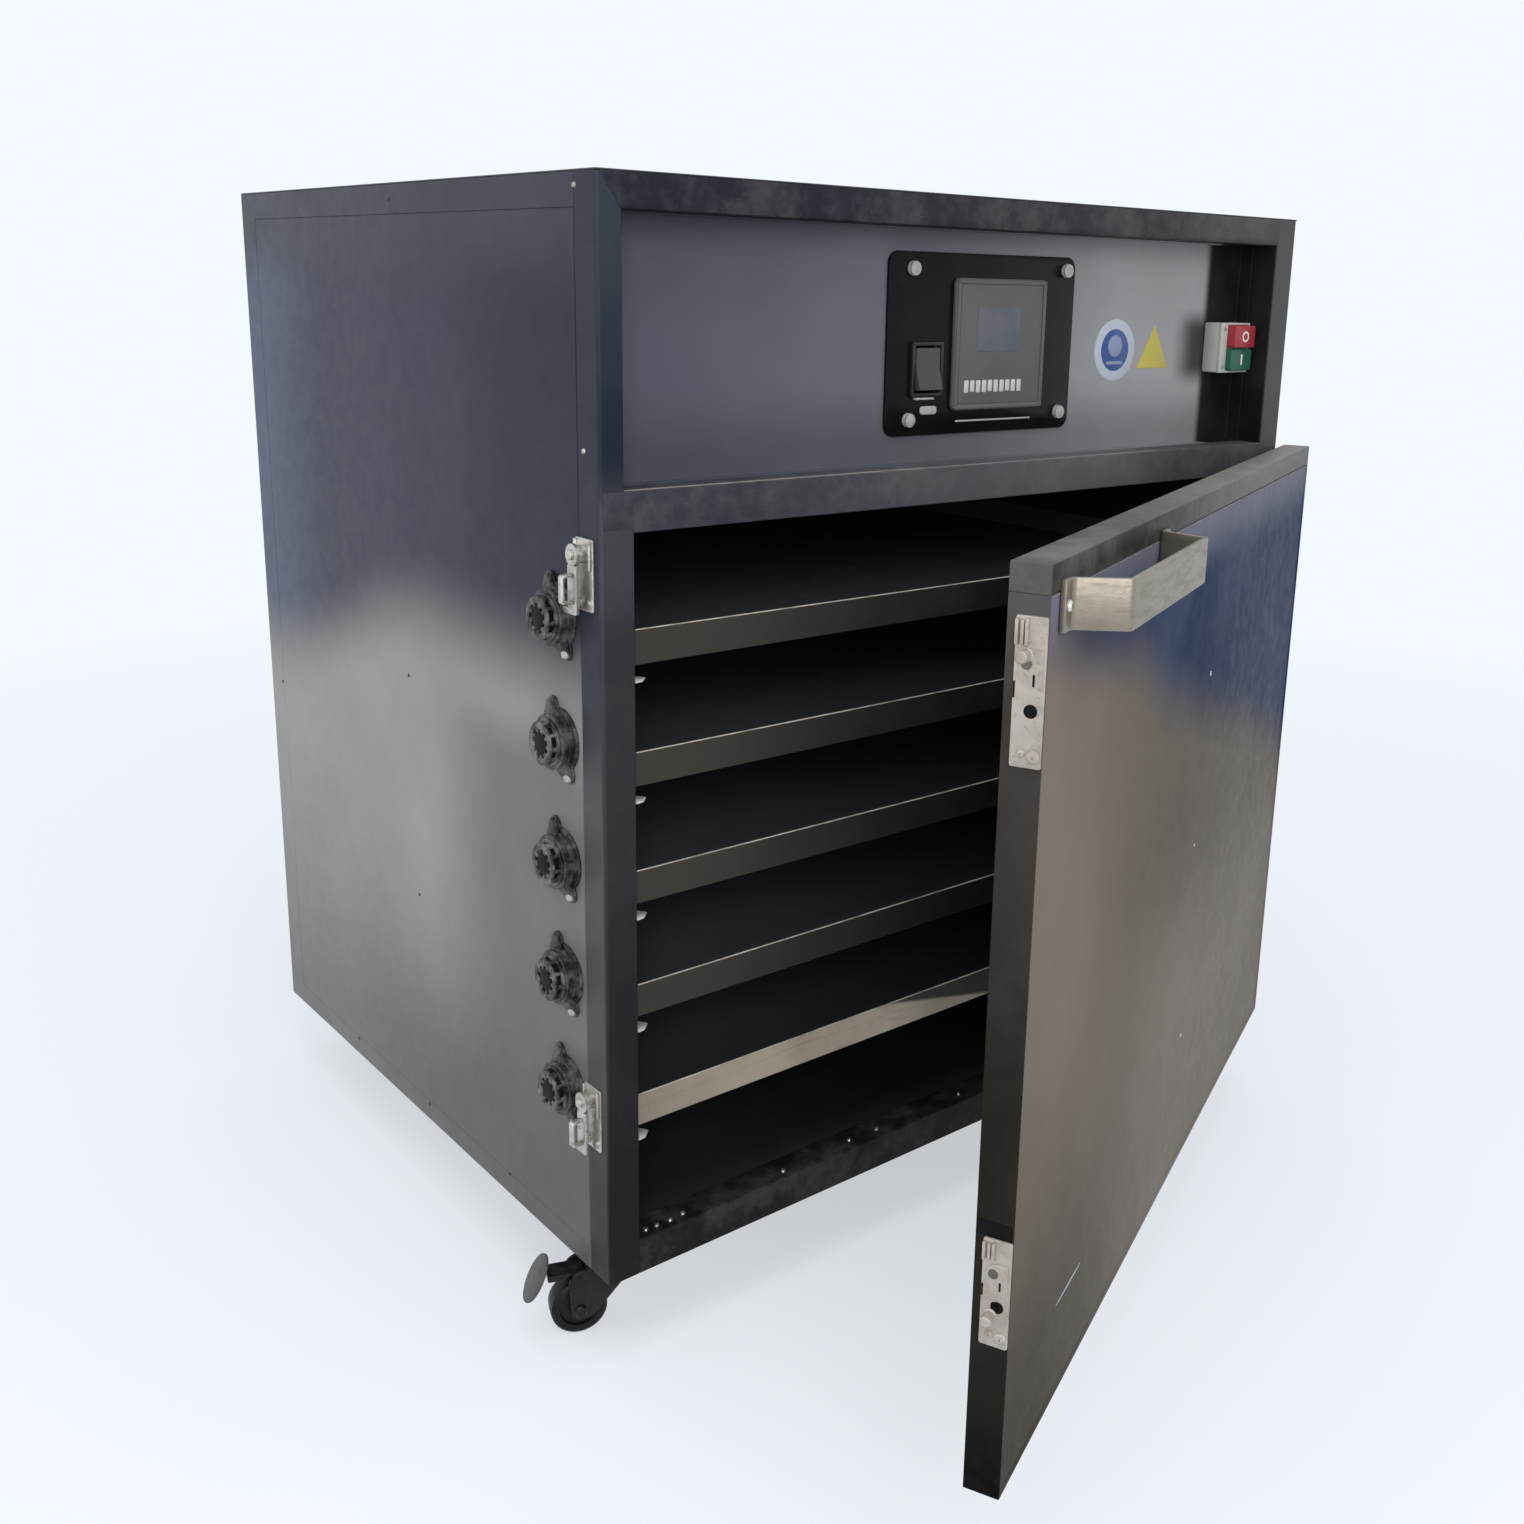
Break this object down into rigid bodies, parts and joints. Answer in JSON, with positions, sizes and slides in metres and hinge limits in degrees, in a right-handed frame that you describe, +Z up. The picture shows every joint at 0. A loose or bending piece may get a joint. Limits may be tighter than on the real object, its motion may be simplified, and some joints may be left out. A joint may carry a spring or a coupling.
{
  "type": "drying cabinet",
  "caption": "Wheeled drying cabinet with shallow trays behind a side-hinged door, a recessed control panel above, side fan motors and hook latches.",
  "frame": {"origin": "middle of the floor area that the whole object covers at rest, with the door ajar, on the floor", "axes": "+Z up, the front looks along -Y, +X to the right seen from the front"},
  "size_m": [0.9068, 1.1166, 0.9765],
  "materials": {
    "black_gloss": "gloss",
    "black_plastic": "matte",
    "display_plastic": "framed display",
    "fascia_paint": "fine-grained grey paint",
    "fork_steel": "black satin",
    "frame_paint": "satin charcoal paint",
    "gasket_rubber": "matte",
    "green_plastic": "gloss",
    "grey_plastic": "satin",
    "handle_metal": "satin, scratched",
    "heater_steel": "oxidised",
    "liner_metal": "dark, heat-tinted",
    "pedal_steel": "satin",
    "red_plastic": "gloss",
    "sheet_paint": "satin charcoal paint",
    "terminals": "matte",
    "tray_metal": "baked brown-grey coating",
    "wheel_rubber": "matte",
    "wool": "mineral wool",
    "zinc": "zinc plated"
  },
  "bodies": {
    "cabinet": {"front_posts": "frame_paint", "cross_rails": "frame_paint", "side_frame_left": "frame_paint", "side_frame_right": "frame_paint", "side_panels": "sheet_paint", "back_panel": "sheet_paint", "top_panel": "sheet_paint", "base_panel": "sheet_paint", "liner_side_walls": "liner_metal", "liner_shell": "liner_metal", "insulation_slabs": "wool", "control_fascia": "fascia_paint", "control_plate": "black_gloss", "display_module": "display_plastic", "rocker_frame": "black_plastic", "starter_box": "grey_plastic", "control_gear": "terminals", "cable_gland": "black_plastic", "tray_1": "tray_metal", "tray_2": "tray_metal", "tray_3": "tray_metal", "tray_4": "tray_metal", "tray_5": "tray_metal", "tray_rails": "liner_metal", "heater_elements": "heater_steel", "fan_motors": "black_plastic", "motor_end_caps": "black_plastic", "latch_bases": "zinc", "cabinet_hinge_straps": "frame_paint", "caster_plates": "zinc", "cabinet_screws": "zinc"},
    "door": {"door_frame": "sheet_paint", "door_skin": "sheet_paint", "door_inner_panel": "liner_metal", "door_insulation": "wool", "door_gasket": "gasket_rubber", "door_handle": "handle_metal", "door_hinge_leaves": "frame_paint", "door_strikes": "zinc", "door_screws": "zinc"},
    "rocker": {"rocker_switch": "black_plastic"},
    "stop_key": {"stop_button": "red_plastic"},
    "start_key": {"start_button": "green_plastic"},
    "hook_top": {"latch_hook_top": "zinc"},
    "hook_bottom": {"latch_hook_bottom": "zinc"},
    "rotor_1": {"fan_1": "black_plastic"},
    "rotor_2": {"fan_2": "black_plastic"},
    "rotor_3": {"fan_3": "black_plastic"},
    "rotor_4": {"fan_4": "black_plastic"},
    "rotor_5": {"fan_5": "black_plastic"},
    "swivel_front_left": {"caster_fork_front_left": "fork_steel"},
    "wheel_front_left": {"caster_wheel_front_left": "wheel_rubber"},
    "pedal_front_left": {"brake_pedal_front_left": "pedal_steel"},
    "swivel_front_right": {"caster_fork_front_right": "fork_steel"},
    "wheel_front_right": {"caster_wheel_front_right": "wheel_rubber"},
    "pedal_front_right": {"brake_pedal_front_right": "pedal_steel"},
    "swivel_rear_left": {"caster_fork_rear_left": "fork_steel"},
    "wheel_rear_left": {"caster_wheel_rear_left": "wheel_rubber"},
    "swivel_rear_right": {"caster_fork_rear_right": "fork_steel"},
    "wheel_rear_right": {"caster_wheel_rear_right": "wheel_rubber"}
  },
  "joints": [
    {"name": "door_hinge", "type": "hinge", "parent": "cabinet", "child": "door", "pos_m": [0.4475, -0.1719, 0.4145], "axis": [0, 0, 1], "range_deg": [-24, 96]},
    {"name": "rocker_tilt", "type": "hinge", "parent": "cabinet", "child": "rocker", "pos_m": [-0.0482, -0.1249, 0.8285], "axis": [1, 0, 0], "range_deg": [0, 18]},
    {"name": "stop_press", "type": "slide", "parent": "cabinet", "child": "stop_key", "axis": [0, 1, 0], "range_m": [0, 0.004], "stiffness_N_per_m": 250},
    {"name": "start_press", "type": "slide", "parent": "cabinet", "child": "start_key", "axis": [0, 1, 0], "range_m": [0, 0.003], "stiffness_N_per_m": 250},
    {"name": "hook_top_swing", "type": "hinge", "parent": "cabinet", "child": "hook_top", "pos_m": [-0.4215, -0.1419, 0.6985], "axis": [1, 0, 0], "range_deg": [-90, 5]},
    {"name": "hook_bottom_swing", "type": "hinge", "parent": "cabinet", "child": "hook_bottom", "pos_m": [-0.4215, -0.1419, 0.2425], "axis": [1, 0, 0], "range_deg": [-90, 5]},
    {"name": "fan_1_spin", "type": "hinge", "parent": "cabinet", "child": "rotor_1", "pos_m": [-0.401, -0.1029, 0.2385], "axis": [1, 0, 0], "continuous": true},
    {"name": "fan_2_spin", "type": "hinge", "parent": "cabinet", "child": "rotor_2", "pos_m": [-0.401, -0.1029, 0.3398], "axis": [1, 0, 0], "continuous": true},
    {"name": "fan_3_spin", "type": "hinge", "parent": "cabinet", "child": "rotor_3", "pos_m": [-0.401, -0.1029, 0.4411], "axis": [1, 0, 0], "continuous": true},
    {"name": "fan_4_spin", "type": "hinge", "parent": "cabinet", "child": "rotor_4", "pos_m": [-0.401, -0.1029, 0.5424], "axis": [1, 0, 0], "continuous": true},
    {"name": "fan_5_spin", "type": "hinge", "parent": "cabinet", "child": "rotor_5", "pos_m": [-0.401, -0.1029, 0.6437], "axis": [1, 0, 0], "continuous": true},
    {"name": "swivel_front_left_turn", "type": "hinge", "parent": "cabinet", "child": "swivel_front_left", "pos_m": [-0.378, -0.1119, 0.0705], "axis": [0, 0, 1], "continuous": true},
    {"name": "wheel_front_left_roll", "type": "hinge", "parent": "swivel_front_left", "child": "wheel_front_left", "pos_m": [-0.40619, -0.10164, 0.025], "axis": [-0.342, -0.9397, 0], "continuous": true},
    {"name": "pedal_front_left_press", "type": "hinge", "parent": "swivel_front_left", "child": "pedal_front_left", "pos_m": [-0.40619, -0.10164, 0.0585], "axis": [-0.342, -0.9397, 0], "range_deg": [0, 7]},
    {"name": "swivel_front_right_turn", "type": "hinge", "parent": "cabinet", "child": "swivel_front_right", "pos_m": [0.402, -0.1119, 0.0705], "axis": [0, 0, 1], "continuous": true},
    {"name": "wheel_front_right_roll", "type": "hinge", "parent": "swivel_front_right", "child": "wheel_front_right", "pos_m": [0.37381, -0.10164, 0.025], "axis": [-0.342, -0.9397, 0], "continuous": true},
    {"name": "pedal_front_right_press", "type": "hinge", "parent": "swivel_front_right", "child": "pedal_front_right", "pos_m": [0.37381, -0.10164, 0.0585], "axis": [-0.342, -0.9397, 0], "range_deg": [0, 7]},
    {"name": "swivel_rear_left_turn", "type": "hinge", "parent": "cabinet", "child": "swivel_rear_left", "pos_m": [-0.363, 0.4761, 0.0705], "axis": [0, 0, 1], "continuous": true},
    {"name": "wheel_rear_left_roll", "type": "hinge", "parent": "swivel_rear_left", "child": "wheel_rear_left", "pos_m": [-0.33581, 0.46342, 0.025], "axis": [0.4226, 0.9063, 0], "continuous": true},
    {"name": "swivel_rear_right_turn", "type": "hinge", "parent": "cabinet", "child": "swivel_rear_right", "pos_m": [0.387, 0.4761, 0.0705], "axis": [0, 0, 1], "continuous": true},
    {"name": "wheel_rear_right_roll", "type": "hinge", "parent": "swivel_rear_right", "child": "wheel_rear_right", "pos_m": [0.41419, 0.46342, 0.025], "axis": [0.4226, 0.9063, 0], "continuous": true}
  ]
}
